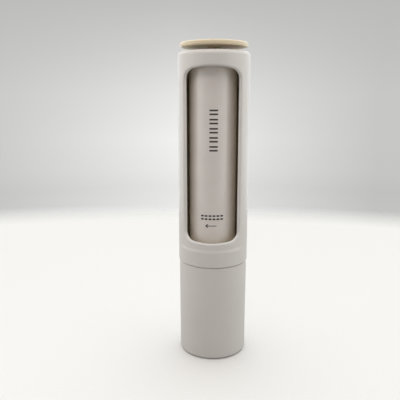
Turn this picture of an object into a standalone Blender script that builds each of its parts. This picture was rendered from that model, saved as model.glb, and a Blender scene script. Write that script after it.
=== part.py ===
"""Retractable lint roller: a windowed sleeve on a round handle, with a tape roll that pulls up out of the top.

All lengths are in metres. +Z runs up the common axis, z = 0 is the flat of the base, and the window faces -Y.
"""

import math

import bmesh
import bpy

MM = 0.001

# Driving dimensions.
TOTAL_HEIGHT = 183.0 * MM
SLEEVE_RADIUS = 20.5 * MM
WALL = 2.0 * MM
SEAM_Z = 57.3 * MM
SLEEVE_TOP_Z = 178.0 * MM
WINDOW_BOTTOM_Z = 71.7 * MM
WINDOW_TOP_Z = 169.35 * MM
WINDOW_HALF_WIDTH = 14.4 * MM
WINDOW_TOP_CORNER = 5.5 * MM
WINDOW_TOP_BOW = 50 * MM
WINDOW_BOTTOM_CORNER = 4.5 * MM
WINDOW_BOTTOM_BOW = 80 * MM
TAPE_LENGTH = 101.6 * MM
TAPE_RADIUS = 13.6 * MM
DISC_RADIUS = 19.2 * MM
FIT = 0.3 * MM

# Turning resolution.
SHELL_STEPS = 64
INNER_STEPS = 40
SMALL_STEPS = 28
ARC_STEPS = 4

# Handle and its base cap.
HANDLE_TOP_RADIUS = 20.15 * MM
HANDLE_FOOT_RADIUS = 20.0 * MM
HANDLE_BORE = 18.1 * MM
HANDLE_TOP_Z = SEAM_Z - FIT
FOOT_ROUND = 1.6 * MM
CAP_CHAMFER = 0.4 * MM
HANDLE_TOP_CHAMFER = 0.3 * MM
CAP_FLOOR = 2.2 * MM
CAP_SKIRT = 9.0 * MM
CAP_WALL = 1.7 * MM
LEDGE_WIDTH = 0.9 * MM
LEDGE_HEIGHT = 1.0 * MM

# Sleeve.
SLEEVE_BORE = SLEEVE_RADIUS - WALL
SLEEVE_LENGTH = SLEEVE_TOP_Z - SEAM_Z
TOP_ROUND = 2.4 * MM
LIP_BORE = 17.2 * MM
LIP_ROUND = 0.4 * MM
LIP_THICKNESS = 2.2 * MM
BOTTOM_ROUND = 0.5 * MM
WINDOW_CHAMFER = 0.9 * MM

# Collar that joins the handle to the sleeve, and the rest stop inside it.
COLLAR_BOTTOM_Z = 44.7 * MM
COLLAR_TOP_Z = 63.8 * MM
COLLAR_BORE = 16.8 * MM
COLLAR_SHELF = 1.9 * MM
SHELF_BORE = 13.6 * MM
BUMPER_THICKNESS = 0.8 * MM

# Guide liner and the mouth ring above it.
LINER_RADIUS = SLEEVE_BORE - FIT
LINER_BORE = 16.9 * MM
MOUTH_RING_HEIGHT = 2.6 * MM
MOUTH_RING_BORE = 14.4 * MM
MOUTH_RING_BEVEL = 0.9 * MM
MOUTH_RING_Z = SLEEVE_TOP_Z - LIP_THICKNESS - FIT - MOUTH_RING_HEIGHT
LINER_BOTTOM_Z = COLLAR_TOP_Z + FIT
LINER_TOP_Z = MOUTH_RING_Z - FIT
LINER_WINDOW_SETBACK = 0.8 * MM
KEYWAY_WIDTH = 3.0 * MM

# Carriage: piston, spindle, washers, stem and pull disc.
PISTON_RADIUS = 16.4 * MM
PISTON_BORE = 14.2 * MM
PISTON_BOTTOM_Z = COLLAR_BOTTOM_Z + COLLAR_SHELF + 2 * FIT + BUMPER_THICKNESS
PISTON_HEIGHT = 19.6 * MM
PISTON_CROWN = 3.2 * MM
PISTON_CHAMFER = 0.45 * MM
GROOVE_BOTTOM = 6.0 * MM
GROOVE_HEIGHT = 2.2 * MM
GROOVE_RADIUS = 15.1 * MM
BOSS_RADIUS = 6.0 * MM
BOSS_BOTTOM = 8.0 * MM
BOSS_FLOOR = 3.0 * MM
KEY_WIDTH = KEYWAY_WIDTH - 2 * FIT
KEY_REACH = 17.7 * MM
KEY_HEIGHT = 2.5 * MM
SPINDLE_RADIUS = 3.0 * MM
SPINDLE_CHAMFER = 0.3 * MM
SPINDLE_BORE_LENGTH = 9.0 * MM
SCREW_RADIUS = 1.2 * MM
SCREW_HEAD_RADIUS = 3.0 * MM
SCREW_HEAD_HEIGHT = 1.8 * MM
SCREW_LENGTH = 11.0 * MM
SCREW_WASHER_RADIUS = 4.2 * MM
SCREW_WASHER_HEIGHT = 0.8 * MM
SCREW_RECESS = 0.9 * MM
THRUST_WASHER_RADIUS = 7.0 * MM
THRUST_WASHER_HEIGHT = 0.5 * MM
STEM_RADIUS = 4.5 * MM
STEM_CORE = 3.9 * MM
STEM_RIBS = 14
DISC_THICKNESS = 2.65 * MM
DISC_TOP_ROUND = 1.2 * MM
DISC_UNDER_ROUND = 0.8 * MM
DISC_PIN_RADIUS = 1.6 * MM
DISC_BOTTOM_Z = TOTAL_HEIGHT - DISC_THICKNESS

# Tape roll: hubs, paper core, wound sheets and the printed outer sheet.
HUB_FLANGE_RADIUS = 12.0 * MM
HUB_FLANGE = 0.9 * MM
HUB_RADIUS = 9.45 * MM
HUB_LENGTH = 9.0 * MM
HUB_WALL = 1.8 * MM
CORE_BORE = HUB_RADIUS + FIT
CORE_RADIUS = 10.9 * MM
SHEET_THICKNESS = 0.3 * MM
SLIT_WIDTH = 0.4 * MM
SLIT_ANGLE = math.radians(125)
PISTON_TOP_Z = PISTON_BOTTOM_Z + PISTON_HEIGHT
LOWER_WASHER_Z = PISTON_TOP_Z + FIT
LOWER_HUB_Z = LOWER_WASHER_Z + THRUST_WASHER_HEIGHT + FIT
TAPE_BOTTOM_Z = LOWER_HUB_Z + HUB_FLANGE + FIT
TAPE_TOP_Z = TAPE_BOTTOM_Z + TAPE_LENGTH
UPPER_HUB_Z = TAPE_TOP_Z + FIT
UPPER_WASHER_Z = UPPER_HUB_Z + HUB_FLANGE + FIT
STEM_Z = UPPER_WASHER_Z + THRUST_WASHER_HEIGHT + FIT
SPINDLE_BOTTOM_Z = PISTON_BOTTOM_Z + BOSS_BOTTOM + BOSS_FLOOR + FIT
SPINDLE_TOP_Z = DISC_BOTTOM_Z - 2 * FIT
SCREW_WASHER_Z = PISTON_BOTTOM_Z + BOSS_BOTTOM - FIT - SCREW_WASHER_HEIGHT

# Colours (linear RGB), roughness and metallic value of each finish.
WHITE_PLASTIC = ((0.80, 0.79, 0.77), 0.38, 0.0)
CREAM_PLASTIC = ((0.83, 0.74, 0.56), 0.42, 0.0)
GREY_RUBBER = ((0.06, 0.06, 0.06), 0.8, 0.0)
STEEL = ((0.60, 0.60, 0.62), 0.3, 1.0)
NYLON = ((0.75, 0.73, 0.68), 0.5, 0.0)
KRAFT_PAPER = ((0.42, 0.30, 0.19), 0.85, 0.0)
TAPE_PAPER = ((0.82, 0.80, 0.76), 0.6, 0.0)
PRINTED_PAPER = ((0.86, 0.84, 0.80), 0.5, 0.0)


def clear_scene():
    for obj in list(bpy.data.objects):
        bpy.data.objects.remove(obj, do_unlink=True)


def finish(obj, look):
    """Gives an object its own material and smooth shading on its round faces."""
    colour, roughness, metallic = look
    material = bpy.data.materials.new(obj.name)
    material.use_nodes = True
    shader = material.node_tree.nodes["Principled BSDF"]
    shader.inputs["Base Color"].default_value = (*colour, 1.0)
    shader.inputs["Roughness"].default_value = roughness
    shader.inputs["Metallic"].default_value = metallic
    obj.data.materials.append(material)
    obj.data.shade_smooth()
    obj.data.set_sharp_from_angle(angle=math.radians(35))


def object_from(bm, name, z=0.0):
    """Turns a bmesh into an object on the axis at height z, its faces pointing out."""
    bmesh.ops.recalc_face_normals(bm, faces=bm.faces)
    mesh = bpy.data.meshes.new(name)
    bm.to_mesh(mesh)
    bm.free()
    obj = bpy.data.objects.new(name, mesh)
    obj.location.z = z
    bpy.context.scene.collection.objects.link(obj)
    return obj


def arc(centre_r, centre_z, radius, start, end, steps=ARC_STEPS):
    """Points of an arc in the (r, z) plane, its angles in degrees from +r towards +z."""
    angles = [math.radians(start + (end - start) * i / steps) for i in range(steps + 1)]
    return [(centre_r + radius * math.cos(a), centre_z + radius * math.sin(a)) for a in angles]


def turned(name, outline, z, look, steps=SMALL_STEPS):
    """A solid of revolution from a closed (r, z) outline."""
    bm = bmesh.new()
    verts = [bm.verts.new((r, 0.0, height)) for r, height in outline]
    edges = [bm.edges.new((verts[i - 1], verts[i])) for i in range(len(verts))]
    edges = [edge for edge in edges if any(vert.co.x > 0 for vert in edge.verts)]
    bmesh.ops.spin(
        bm,
        geom=verts + edges,
        cent=(0, 0, 0),
        axis=(0, 0, 1),
        angle=math.tau,
        steps=steps,
        use_merge=True,
    )
    bmesh.ops.remove_doubles(bm, verts=bm.verts, dist=1e-6)
    loose = [edge for edge in bm.edges if not edge.link_faces]
    bmesh.ops.delete(bm, geom=loose, context="EDGES")
    obj = object_from(bm, name, z)
    finish(obj, look)
    return obj


def ring(name, bore, radius, height, z, look, steps=SMALL_STEPS, chamfer=0.0):
    """A plain ring or washer, with an optional chamfer on its outer edges."""
    outline = [(bore, height), (radius - chamfer, height), (radius, height - chamfer)]
    outline += [(radius, chamfer), (radius - chamfer, 0.0), (bore, 0.0)]
    if not chamfer:
        outline = [(bore, height), (radius, height), (radius, 0.0), (bore, 0.0)]
    return turned(name, outline, z, look, steps)


def add_boolean(obj, tool, operation="DIFFERENCE"):
    modifier = obj.modifiers.new(tool.name, "BOOLEAN")
    modifier.operation = operation
    modifier.object = tool
    tool.hide_render = True
    tool.display_type = "WIRE"
    tool.parent = obj
    tool.matrix_parent_inverse.identity()


def box_tool(name, low, high, turn=0.0):
    """A rectangular helper block between two corners, turned about the axis."""
    bm = bmesh.new()
    bmesh.ops.create_cube(bm, size=1.0)
    for vert in bm.verts:
        for i in range(3):
            vert.co[i] = low[i] + (high[i] - low[i]) * (vert.co[i] + 0.5)
    obj = object_from(bm, name)
    obj.rotation_euler.z = turn
    return obj


def window_end(end_z, way, bow, corner, grow):
    """Half of one end of the window, from its middle out to its side: a shallow bow and a corner."""
    reach = WINDOW_HALF_WIDTH - corner
    turn = math.asin(reach / (bow - corner))
    bow_z = end_z - way * bow
    corner_z = bow_z + way * (bow - corner) * math.cos(turn)
    points = []
    for i in range(ARC_STEPS):
        a = turn * i / ARC_STEPS
        points.append(((bow + grow) * math.sin(a), bow_z + way * (bow + grow) * math.cos(a)))
    steps = 2 * ARC_STEPS
    for i in range(steps + 1):
        a = turn + (math.pi / 2 - turn) * i / steps
        x = reach + (corner + grow) * math.sin(a)
        points.append((x, corner_z + way * (corner + grow) * math.cos(a)))
    return points


def window_outline(grow):
    """The window's outline in the (x, z) plane, clockwise from its top, made larger by grow."""
    right = window_end(WINDOW_TOP_Z, 1, WINDOW_TOP_BOW, WINDOW_TOP_CORNER, grow)
    right += window_end(WINDOW_BOTTOM_Z, -1, WINDOW_BOTTOM_BOW, WINDOW_BOTTOM_CORNER, grow)[::-1]
    left = [(-x, z) for x, z in right[-2:0:-1]]
    return right + left


def window_tool(name, grow, chamfer, z):
    """Cutter for a window along -Y, with a chamfer that follows the round outer face."""
    depth = SLEEVE_RADIUS / 2.5
    beyond = WALL
    sections = [
        (grow, lambda x: -depth),
        (grow, lambda x: chamfer - math.sqrt(SLEEVE_RADIUS**2 - x**2)),
        (grow + chamfer + beyond, lambda x: -beyond - math.sqrt(SLEEVE_RADIUS**2 - x**2)),
        (grow + chamfer + beyond, lambda x: -2 * beyond - SLEEVE_RADIUS),
    ]
    bm = bmesh.new()
    loops = []
    for offset, surface in sections:
        loops.append([bm.verts.new((x, surface(x), h - z)) for x, h in window_outline(offset)])
    count = len(loops[0])
    for near, far in zip(loops, loops[1:]):
        for i in range(count):
            j = (i + 1) % count
            bm.faces.new((near[i], near[j], far[j], far[i]))
    bm.faces.new(loops[0])
    bm.faces.new(loops[-1])
    bmesh.ops.triangulate(bm, faces=bm.faces)
    return object_from(bm, name)


def base_cap():
    inner = HANDLE_BORE - FIT - CAP_WALL
    outer = HANDLE_BORE - FIT
    edge = CAP_CHAMFER
    outline = [(0.0, CAP_FLOOR), (inner, CAP_FLOOR), (inner, CAP_SKIRT), (outer, CAP_SKIRT)]
    outline += [(outer, edge), (outer - edge, 0.0), (0.0, 0.0)]
    return turned("base_cap", outline, 0.0, WHITE_PLASTIC, INNER_STEPS)


def handle_shell():
    ledge_z = CAP_SKIRT + FIT
    ledge_bore = HANDLE_BORE - LEDGE_WIDTH
    top = HANDLE_TOP_RADIUS
    outline = [(HANDLE_BORE, HANDLE_TOP_Z), (top - HANDLE_TOP_CHAMFER, HANDLE_TOP_Z)]
    outline += [(top, HANDLE_TOP_Z - HANDLE_TOP_CHAMFER)]
    outline += arc(HANDLE_FOOT_RADIUS - FOOT_ROUND, FOOT_ROUND, FOOT_ROUND, 0, -90)
    outline += [(HANDLE_BORE, 0.0), (HANDLE_BORE, ledge_z), (ledge_bore, ledge_z)]
    outline += [(ledge_bore, ledge_z + LEDGE_HEIGHT)]
    outline += [(HANDLE_BORE, ledge_z + LEDGE_HEIGHT + LEDGE_WIDTH)]
    return turned("handle_shell", outline, 0.0, WHITE_PLASTIC, SHELL_STEPS)


def coupling_ring():
    height = COLLAR_TOP_Z - COLLAR_BOTTOM_Z
    shoulder = SEAM_Z - COLLAR_BOTTOM_Z
    lower = HANDLE_BORE - FIT
    upper = SLEEVE_BORE - FIT
    outline = [(COLLAR_BORE, height), (upper, height), (upper, shoulder), (lower, shoulder)]
    outline += [(lower, 0.0), (SHELF_BORE, 0.0), (SHELF_BORE, COLLAR_SHELF)]
    outline += [(COLLAR_BORE, COLLAR_SHELF)]
    return turned("coupling_ring", outline, COLLAR_BOTTOM_Z, WHITE_PLASTIC, INNER_STEPS)


def stop_bumper():
    z = COLLAR_BOTTOM_Z + COLLAR_SHELF + FIT
    bore = SHELF_BORE + FIT
    return ring("stop_bumper", bore, COLLAR_BORE - FIT, BUMPER_THICKNESS, z, GREY_RUBBER)


def window_sleeve():
    lip_z = SLEEVE_LENGTH - LIP_THICKNESS
    outline = arc(LIP_BORE + LIP_ROUND, SLEEVE_LENGTH - LIP_ROUND, LIP_ROUND, 180, 90, 2)
    outline += arc(SLEEVE_RADIUS - TOP_ROUND, SLEEVE_LENGTH - TOP_ROUND, TOP_ROUND, 90, 0, 6)
    outline += arc(SLEEVE_RADIUS - BOTTOM_ROUND, BOTTOM_ROUND, BOTTOM_ROUND, 0, -90)
    outline += [(SLEEVE_BORE, 0.0), (SLEEVE_BORE, lip_z), (LIP_BORE, lip_z)]
    obj = turned("window_sleeve", outline, SEAM_Z, WHITE_PLASTIC, SHELL_STEPS)
    add_boolean(obj, window_tool("sleeve_window_tool", 0.0, WINDOW_CHAMFER, SEAM_Z))
    return obj


def guide_liner():
    height = LINER_TOP_Z - LINER_BOTTOM_Z
    z = LINER_BOTTOM_Z
    obj = ring("guide_liner", LINER_BORE, LINER_RADIUS, height, z, CREAM_PLASTIC, INNER_STEPS)
    add_boolean(obj, window_tool("liner_window_tool", LINER_WINDOW_SETBACK, 0.0, z))
    half = KEYWAY_WIDTH / 2
    low = (-half, LINER_BORE - WALL, -WALL)
    high = (half, LINER_RADIUS + WALL, height + WALL)
    add_boolean(obj, box_tool("keyway_tool", low, high))
    return obj


def mouth_ring():
    """Stop ring: a flange held under the sleeve's lip and a collar that rises through it."""
    flange = MOUTH_RING_HEIGHT
    top = flange + LIP_THICKNESS
    bevel = MOUTH_RING_BEVEL
    outer = SLEEVE_BORE - FIT
    collar = LIP_BORE - FIT
    outline = [(MOUTH_RING_BORE + bevel, top), (collar, top), (collar, flange), (outer, flange)]
    outline += [(outer, 0.0), (MOUTH_RING_BORE, 0.0), (MOUTH_RING_BORE, top - bevel)]
    return turned("mouth_ring", outline, MOUTH_RING_Z, CREAM_PLASTIC, INNER_STEPS)


def guide_piston():
    height = PISTON_HEIGHT
    rod = SPINDLE_RADIUS + FIT
    hole = SCREW_RADIUS + FIT
    groove_top = GROOVE_BOTTOM + GROOVE_HEIGHT
    outline = [(rod, height), (PISTON_RADIUS - PISTON_CHAMFER, height)]
    outline += [(PISTON_RADIUS, height - PISTON_CHAMFER), (PISTON_RADIUS, groove_top)]
    outline += [(GROOVE_RADIUS, groove_top), (GROOVE_RADIUS, GROOVE_BOTTOM)]
    outline += [(PISTON_RADIUS, GROOVE_BOTTOM), (PISTON_RADIUS, PISTON_CHAMFER)]
    outline += [(PISTON_RADIUS - PISTON_CHAMFER, 0.0), (PISTON_BORE, 0.0)]
    outline += [(PISTON_BORE, height - PISTON_CROWN), (BOSS_RADIUS, height - PISTON_CROWN)]
    outline += [(BOSS_RADIUS, BOSS_BOTTOM), (hole, BOSS_BOTTOM), (hole, BOSS_BOTTOM + BOSS_FLOOR)]
    outline += [(rod, BOSS_BOTTOM + BOSS_FLOOR)]
    obj = turned("guide_piston", outline, PISTON_BOTTOM_Z, CREAM_PLASTIC, INNER_STEPS)
    half = KEY_WIDTH / 2
    top = height - PISTON_CHAMFER - FIT
    low = (-half, GROOVE_RADIUS, top - KEY_HEIGHT)
    high = (half, KEY_REACH, top)
    add_boolean(obj, box_tool("key_tool", low, high), "UNION")
    return obj


def piston_o_ring():
    outer = COLLAR_BORE - FIT
    inner = GROOVE_RADIUS + FIT
    section = (outer - inner) / 2
    z = PISTON_BOTTOM_Z + GROOVE_BOTTOM + GROOVE_HEIGHT / 2
    outline = arc(inner + section, 0.0, section, 360, 45, 7)
    return turned("piston_o_ring", outline, z, GREY_RUBBER)


def spindle():
    length = SPINDLE_TOP_Z - SPINDLE_BOTTOM_Z
    top_bore = DISC_PIN_RADIUS + FIT
    low_bore = SCREW_RADIUS + FIT
    edge = SPINDLE_RADIUS - SPINDLE_CHAMFER
    outline = [(0.0, length - SPINDLE_BORE_LENGTH), (top_bore, length - SPINDLE_BORE_LENGTH)]
    outline += [(top_bore, length), (edge, length), (SPINDLE_RADIUS, length - SPINDLE_CHAMFER)]
    outline += [(SPINDLE_RADIUS, SPINDLE_CHAMFER), (edge, 0.0), (low_bore, 0.0)]
    outline += [(low_bore, SPINDLE_BORE_LENGTH), (0.0, SPINDLE_BORE_LENGTH)]
    return turned("spindle", outline, SPINDLE_BOTTOM_Z, CREAM_PLASTIC)


def piston_screw():
    head = SCREW_HEAD_HEIGHT
    z = SCREW_WASHER_Z - FIT - head
    outline = [(0.0, SCREW_LENGTH + head), (SCREW_RADIUS, SCREW_LENGTH + head)]
    outline += [(SCREW_RADIUS, head), (SCREW_HEAD_RADIUS, head)]
    outline += [(SCREW_HEAD_RADIUS, head / 2), (SCREW_HEAD_RADIUS * 0.6, 0.0), (0.0, 0.0)]
    obj = turned("piston_screw", outline, z, STEEL)
    reach = SCREW_HEAD_RADIUS * 0.55
    half = SCREW_HEAD_RADIUS * 0.13
    arms = [(reach, half), (half, reach)]
    for number, (x, y) in enumerate(arms):
        low = (-x, -y, -SCREW_RECESS)
        high = (x, y, SCREW_RECESS)
        add_boolean(obj, box_tool(f"recess_tool_{number}", low, high))
    return obj


def washers():
    """The screw's washer and the two thrust washers that the tape roll turns between."""
    plain = SCREW_RADIUS + FIT
    rod = SPINDLE_RADIUS + FIT
    radius = THRUST_WASHER_RADIUS
    height = THRUST_WASHER_HEIGHT
    return [
        ring("screw_washer", plain, SCREW_WASHER_RADIUS, SCREW_WASHER_HEIGHT, SCREW_WASHER_Z, STEEL),
        ring("lower_thrust_washer", rod, radius, height, LOWER_WASHER_Z, NYLON),
        ring("upper_thrust_washer", rod, radius, height, UPPER_WASHER_Z, NYLON),
    ]


def disc_stem():
    """Ribbed spacer between the tape roll and the pull disc."""
    height = DISC_BOTTOM_Z - FIT - STEM_Z
    bore = SPINDLE_RADIUS + FIT
    bm = bmesh.new()
    rims = []
    for z in (0.0, height):
        for inside in (True, False):
            loop = []
            for i in range(4 * STEM_RIBS):
                angle = math.tau * (i + 0.5) / (4 * STEM_RIBS)
                radius = STEM_RADIUS if i % 4 < 2 else STEM_CORE
                radius = bore if inside else radius
                loop.append(bm.verts.new((radius * math.cos(angle), radius * math.sin(angle), z)))
            rims.append(loop)
    low_in, low_out, high_in, high_out = rims
    for a, b in ((low_in, low_out), (low_out, high_out), (high_out, high_in), (high_in, low_in)):
        for i in range(len(a)):
            bm.faces.new((a[i - 1], a[i], b[i], b[i - 1]))
    obj = object_from(bm, "disc_stem", STEM_Z)
    finish(obj, CREAM_PLASTIC)
    return obj


def pull_disc():
    pin = STEM_Z - DISC_BOTTOM_Z
    top = arc(DISC_RADIUS - DISC_TOP_ROUND, DISC_THICKNESS - DISC_TOP_ROUND, DISC_TOP_ROUND, 90, 0)
    under = arc(DISC_RADIUS - DISC_UNDER_ROUND, DISC_UNDER_ROUND, DISC_UNDER_ROUND, 0, -90)
    outline = [(0.0, DISC_THICKNESS)] + top + under
    outline += [(DISC_PIN_RADIUS, 0.0), (DISC_PIN_RADIUS, pin), (0.0, pin)]
    return turned("pull_disc", outline, DISC_BOTTOM_Z, CREAM_PLASTIC, SHELL_STEPS)


def roll_hub(name, z, direction):
    """Flanged bush in one end of the paper core; direction is +1 when its body points up."""
    bore = SPINDLE_RADIUS + FIT
    body_bore = HUB_RADIUS - HUB_WALL
    web = 2 * HUB_FLANGE
    outline = [(bore, 0.0), (HUB_FLANGE_RADIUS, 0.0), (HUB_FLANGE_RADIUS, HUB_FLANGE)]
    outline += [(HUB_RADIUS, HUB_FLANGE), (HUB_RADIUS, HUB_LENGTH), (body_bore, HUB_LENGTH)]
    outline += [(body_bore, web), (bore + HUB_WALL, web), (bore + HUB_WALL, HUB_LENGTH)]
    outline += [(bore, HUB_LENGTH)]
    outline = [(r, direction * height) for r, height in outline]
    return turned(name, outline, z, NYLON)


def tape_roll():
    """Paper core, the wound sheets on it and the printed sheet outside."""
    wound = TAPE_RADIUS - SHEET_THICKNESS - FIT
    z = TAPE_BOTTOM_Z
    core = ring("paper_core", CORE_BORE, CORE_RADIUS, TAPE_LENGTH, z, KRAFT_PAPER)
    bore = CORE_RADIUS + FIT
    sheets = ring("adhesive_sheets", bore, wound, TAPE_LENGTH, z, TAPE_PAPER, INNER_STEPS)
    inner = TAPE_RADIUS - SHEET_THICKNESS
    cover = ring("outer_sheet", inner, TAPE_RADIUS, TAPE_LENGTH, z, PRINTED_PAPER, INNER_STEPS)
    low = (inner - WALL, -SLIT_WIDTH / 2, -WALL)
    high = (TAPE_RADIUS + WALL, SLIT_WIDTH / 2, TAPE_LENGTH + WALL)
    add_boolean(cover, box_tool("slit_tool", low, high, SLIT_ANGLE))
    return [core, sheets, cover]


def axis_empty(name, z, parent=None):
    empty = bpy.data.objects.new(name, None)
    empty.location.z = z
    empty.empty_display_size = DISC_RADIUS
    empty.parent = parent
    bpy.context.scene.collection.objects.link(empty)
    return empty


def attach(pieces, empty, base_z):
    """Parents pieces to an empty on the axis without moving them."""
    for piece in pieces:
        piece.parent = empty
        piece.location.z -= base_z


def build():
    clear_scene()
    base_cap()
    handle_shell()
    coupling_ring()
    stop_bumper()
    window_sleeve()
    guide_liner()
    mouth_ring()

    carriage = [guide_piston(), piston_o_ring(), spindle(), piston_screw(), disc_stem(), pull_disc()]
    carriage += washers()
    slide = axis_empty("carriage_slide", PISTON_BOTTOM_Z)
    attach(carriage, slide, PISTON_BOTTOM_Z)

    roll = [roll_hub("lower_hub", LOWER_HUB_Z, 1)]
    roll += [roll_hub("upper_hub", UPPER_HUB_Z + HUB_FLANGE, -1)]
    roll += tape_roll()
    turning = axis_empty("roll_axis", TAPE_BOTTOM_Z - PISTON_BOTTOM_Z, slide)
    attach(roll, turning, TAPE_BOTTOM_Z)


build()
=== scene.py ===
"""Looks of the retractable lint roller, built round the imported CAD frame. Lengths are in metres."""

import math

import bpy
import numpy as np
from mathutils import Euler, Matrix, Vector


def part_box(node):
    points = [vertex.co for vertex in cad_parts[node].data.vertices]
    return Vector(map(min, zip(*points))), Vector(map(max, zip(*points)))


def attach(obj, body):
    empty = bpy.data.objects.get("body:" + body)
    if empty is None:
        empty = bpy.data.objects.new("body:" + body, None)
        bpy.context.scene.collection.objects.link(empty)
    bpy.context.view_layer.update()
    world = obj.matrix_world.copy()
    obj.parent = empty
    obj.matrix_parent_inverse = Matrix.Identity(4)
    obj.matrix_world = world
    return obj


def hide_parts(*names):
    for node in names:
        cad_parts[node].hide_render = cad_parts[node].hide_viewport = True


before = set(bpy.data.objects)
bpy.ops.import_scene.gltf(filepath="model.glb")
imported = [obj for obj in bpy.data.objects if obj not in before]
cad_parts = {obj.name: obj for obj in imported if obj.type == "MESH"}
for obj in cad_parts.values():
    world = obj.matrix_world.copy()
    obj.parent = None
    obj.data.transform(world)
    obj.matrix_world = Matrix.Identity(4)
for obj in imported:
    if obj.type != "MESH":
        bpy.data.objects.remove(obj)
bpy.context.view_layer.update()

MM = 0.001

# Places read from the frame.
SLEEVE_LOW, SLEEVE_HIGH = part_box("window_sleeve")
HANDLE_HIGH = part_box("handle_shell")[1]
CAP_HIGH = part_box("base_cap")[1]
COLLAR_LOW, COLLAR_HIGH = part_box("coupling_ring")
BUMPER_LOW, BUMPER_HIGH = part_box("stop_bumper")
LINER_LOW, LINER_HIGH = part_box("guide_liner")
MOUTH_LOW, MOUTH_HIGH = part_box("mouth_ring")
PISTON_LOW, PISTON_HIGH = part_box("guide_piston")
O_RING_LOW, O_RING_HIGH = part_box("piston_o_ring")
SPINDLE_LOW, SPINDLE_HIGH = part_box("spindle")
STEM_LOW, STEM_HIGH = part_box("disc_stem")
DISC_LOW, DISC_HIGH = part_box("pull_disc")
CORE_LOW, CORE_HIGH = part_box("paper_core")
SHEETS_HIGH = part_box("adhesive_sheets")[1]
COVER_LOW, COVER_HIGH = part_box("outer_sheet")

SLEEVE_RADIUS = SLEEVE_HIGH.x
SLEEVE_TOP_Z = SLEEVE_HIGH.z
SEAM_Z = SLEEVE_LOW.z
TAPE_RADIUS = COVER_HIGH.x
TAPE_LOW_Z = COVER_LOW.z
TAPE_HIGH_Z = COVER_HIGH.z

# Shapes that a box can't give.
FIT = 0.3 * MM
WALL = 2.0 * MM
SLEEVE_BORE = SLEEVE_RADIUS - WALL
WINDOW_BOTTOM_Z = SEAM_Z + 14.4 * MM
WINDOW_TOP_Z = SLEEVE_TOP_Z - 8.65 * MM
WINDOW_HALF_WIDTH = 14.4 * MM
WINDOW_TOP_CORNER = 5.5 * MM
WINDOW_TOP_BOW = 50 * MM
WINDOW_BOTTOM_CORNER = 4.5 * MM
WINDOW_BOTTOM_BOW = 80 * MM
WINDOW_FILLET = 1.2 * MM
TOP_ROUND = 2.4 * MM
BOTTOM_ROUND = 0.5 * MM
LIP_BORE = 17.2 * MM
LIP_THICKNESS = 2.2 * MM
LIP_ROUND = 0.5 * MM
RECESS_DROP = 4.8 * MM
RECESS_RISE = 0.8 * MM
RECESS_EDGE = 2.3 * MM
RECESS_FADE = 12 * MM
RECESS_DEPTH = 0.34 * MM
RECESS_HALF_ANGLE = math.radians(72)
RECESS_END = math.radians(25)
HANDLE_BORE = 18.1 * MM
HANDLE_FOOT_RADIUS = 20.0 * MM
LINER_BORE = 16.9 * MM
LINER_SETBACK = 0.8 * MM
KEYWAY_WIDTH = 3.0 * MM
DISC_THICKNESS = 2.65 * MM
DISC_BOTTOM_Z = DISC_HIGH.z - DISC_THICKNESS
ROD_BORE = SPINDLE_HIGH.x + FIT
SCREW_BORE = 1.5 * MM
HUB_RADIUS = 9.45 * MM
LOOSE_EDGE = math.radians(215)
SHEET_THICKNESS = 0.12 * MM
SHEET_RADIUS = TAPE_RADIUS + 0.1 * MM
SHEET_SLACK = Vector((-0.5 * MM, 0.0, 0.0))

# Fineness.
EDGE = 0.15 * MM
ARC_ANGLE = math.radians(11)
SHARP_ANGLE = math.radians(40)
SHELL_STEPS = 160
SMALL_STEPS = 72
RING_STEPS = 24
WELD = 1e-7
STRAIGHT = 1e-4
SAME = 1e-9

# How many lengths the window's frame is cut into, from its top centre round to its bottom centre.
FLAT_STEPS = 6
CORNER_STEPS = 24
SIDE_STEPS = 24
BACK_STEPS = 84
FILLET_STEPS = 8
OUTER_ROWS = 30
BORE_ROWS = 5
ROW_CROWDING = 1.15
FRONT_ANGLE = math.radians(75)
FRAME_TURN = math.radians(22)


class Skin:
    """Patches of points with normals, welded into one closed mesh that keeps those normals."""

    def __init__(self):
        self.points = []
        self.normals = []
        self.faces = []
        self.count = 0

    def grid(self, points, normals, wrap=False):
        """A patch of rows and columns; wrap joins its last column to its first."""
        points = np.asarray(points, float)
        normals = np.broadcast_to(np.asarray(normals, float), points.shape)
        rows, columns = points.shape[:2]
        index = np.arange(rows * columns).reshape(rows, columns)
        if wrap:
            index = np.concatenate([index, index[:, :1]], axis=1)
        corners = [index[:-1, :-1], index[:-1, 1:], index[1:, 1:], index[1:, :-1]]
        quads = np.stack(corners, axis=-1).reshape(-1, 4)
        flat = points.reshape(-1, 3)
        outward = normals.reshape(-1, 3)
        across = np.cross(flat[quads[:, 2]] - flat[quads[:, 0]], flat[quads[:, 3]] - flat[quads[:, 1]])
        if np.einsum("ij,ij->", across, outward[quads[:, 0]]) < 0:
            quads = quads[:, ::-1]
        self.faces += (quads + self.count).tolist()
        self.points.append(flat)
        self.normals.append(outward)
        self.count += len(flat)

    def build(self, name, material):
        points = np.concatenate(self.points)
        normals = np.concatenate(self.normals)
        # Points in the same small cell become one. The shift keeps round measures off the cells' walls.
        keys = np.floor(points / WELD + math.pi / 10).astype(np.int64)
        _, first, index = np.unique(keys, axis=0, return_index=True, return_inverse=True)
        index = index.reshape(-1)
        faces = []
        loops = []
        for face in self.faces:
            corners = [v for i, v in enumerate(face) if index[v] != index[face[i - 1]]]
            if len(corners) > 2:
                faces.append([int(index[v]) for v in corners])
                loops += corners
        mesh = bpy.data.meshes.new(name)
        mesh.from_pydata(points[first].tolist(), [], faces)
        mesh.shade_smooth()
        mesh.normals_split_custom_set(normals[loops].tolist())
        mesh.materials.append(material)
        obj = bpy.data.objects.new(name, mesh)
        bpy.context.scene.collection.objects.link(obj)
        return obj


def unit(vectors):
    return vectors / np.linalg.norm(vectors, axis=-1, keepdims=True)


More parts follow.
